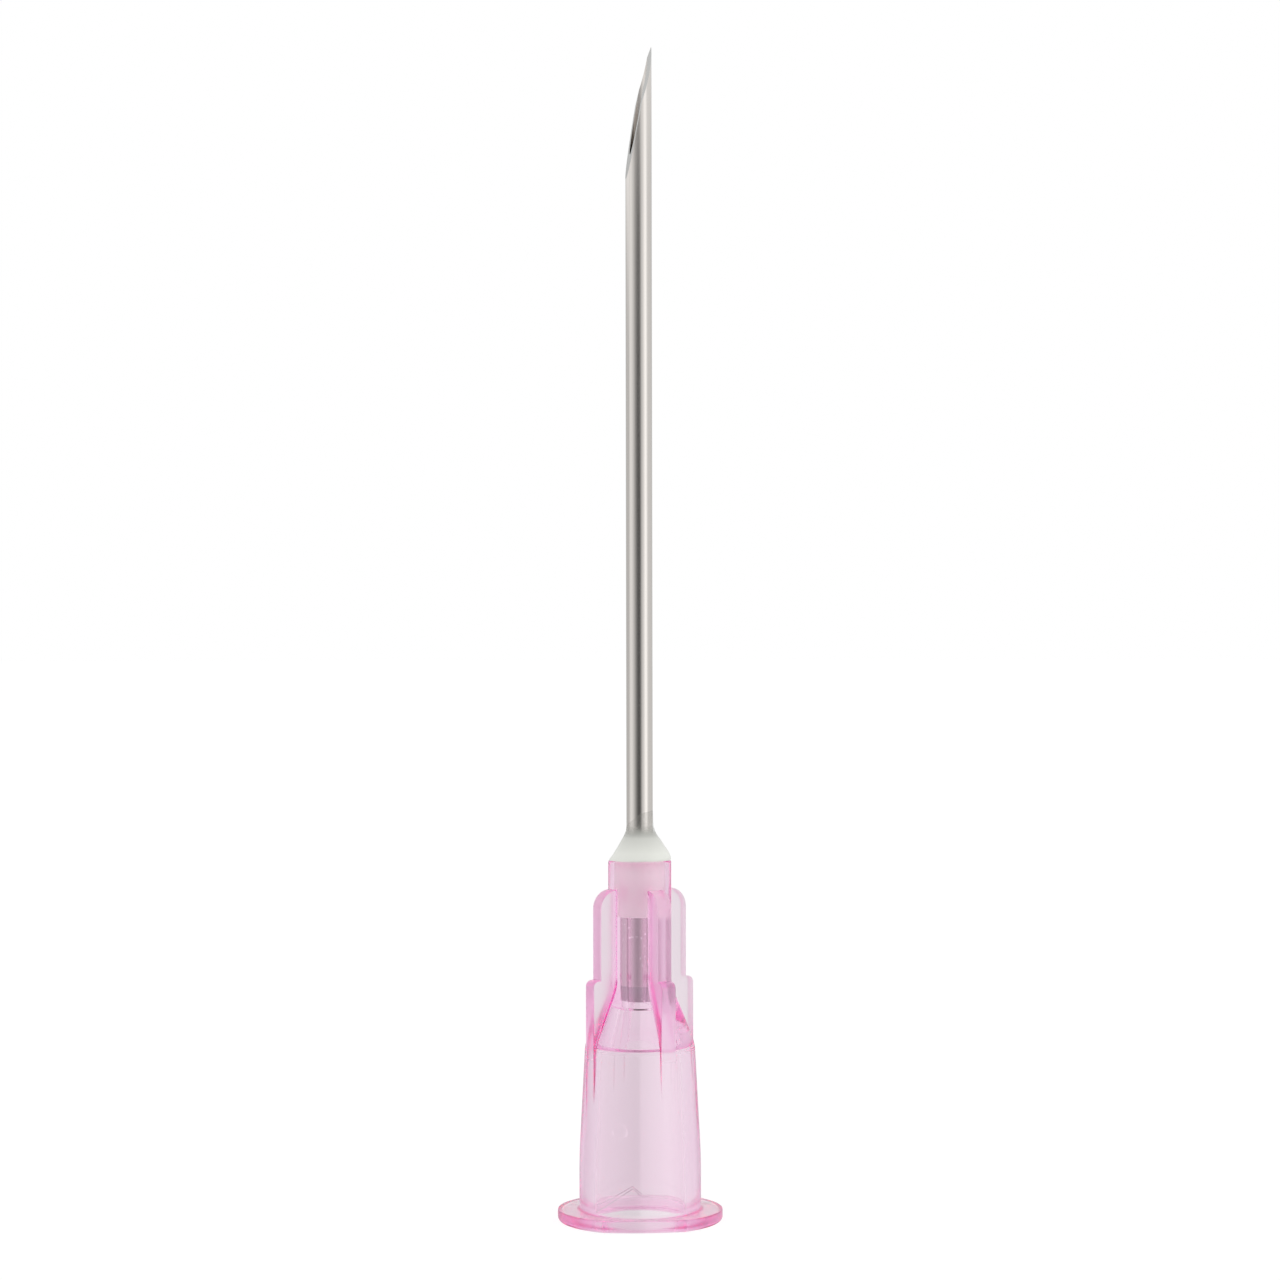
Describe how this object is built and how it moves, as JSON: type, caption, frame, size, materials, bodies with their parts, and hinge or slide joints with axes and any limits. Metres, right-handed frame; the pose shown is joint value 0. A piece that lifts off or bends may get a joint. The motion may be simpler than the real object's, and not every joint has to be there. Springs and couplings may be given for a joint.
{
  "type": "hypodermic needle",
  "caption": "Single-use hypodermic needle: bevelled steel tube bonded by a milky adhesive bead into a translucent pink ribbed hub with a tapered socket and locking lugs.",
  "frame": {"origin": "centre of the open mouth of the hub's socket, in the plane of the flange that the needle stands on", "axes": "+Z along the cannula from the socket to the tip; +X to the right and +Y into the picture as pictured; the bevel faces -X, turned a little towards -Y, and the two lugs of the flange point along X"},
  "size_m": [0.0078, 0.0072, 0.0558],
  "materials": {
    "hub_plastic": "moulded translucent pink polypropylene, glossy",
    "cannula_steel": "drawn and polished stainless steel tube, ground matt at the bevel",
    "adhesive_resin": "cured milky resin, smooth"
  },
  "bodies": {
    "root": {"hub": "hub_plastic", "cannula": "cannula_steel", "adhesive": "adhesive_resin"}
  },
  "joints": []
}
